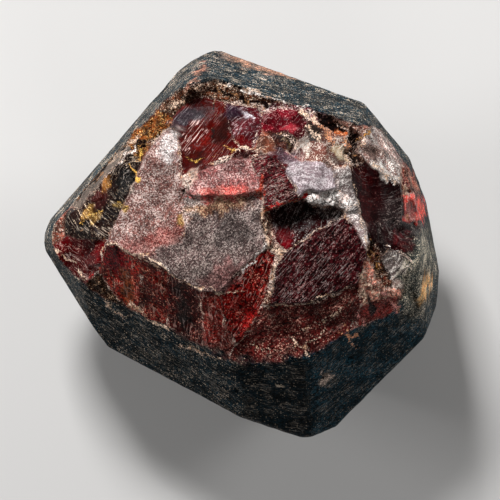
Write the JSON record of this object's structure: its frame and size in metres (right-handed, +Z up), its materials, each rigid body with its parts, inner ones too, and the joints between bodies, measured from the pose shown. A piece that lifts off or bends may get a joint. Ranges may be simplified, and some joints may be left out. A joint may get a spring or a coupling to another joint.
{
  "type": "garnet crystal",
  "caption": "Worn dodecahedral garnet crystal, its upper face broken open to deep red glassy and granular facets, the rest in smooth grey-blue skin.",
  "frame": {"origin": "on the flat face that the crystal rests on, below the middle of the crystal", "axes": "+Z up out of the broken face, +X and +Y across the crystal, with +Y towards the side whose strip of skin is brightest"},
  "size_m": [0.0198, 0.0194, 0.0179],
  "materials": {
    "garnet": "dark red garnet: glassy, granular and striated on the broken face with cream and orange crumbs in its cracks, satin dark grey-blue on the worn skin"
  },
  "bodies": {
    "root": {"garnet_crystal": "garnet"}
  },
  "joints": []
}
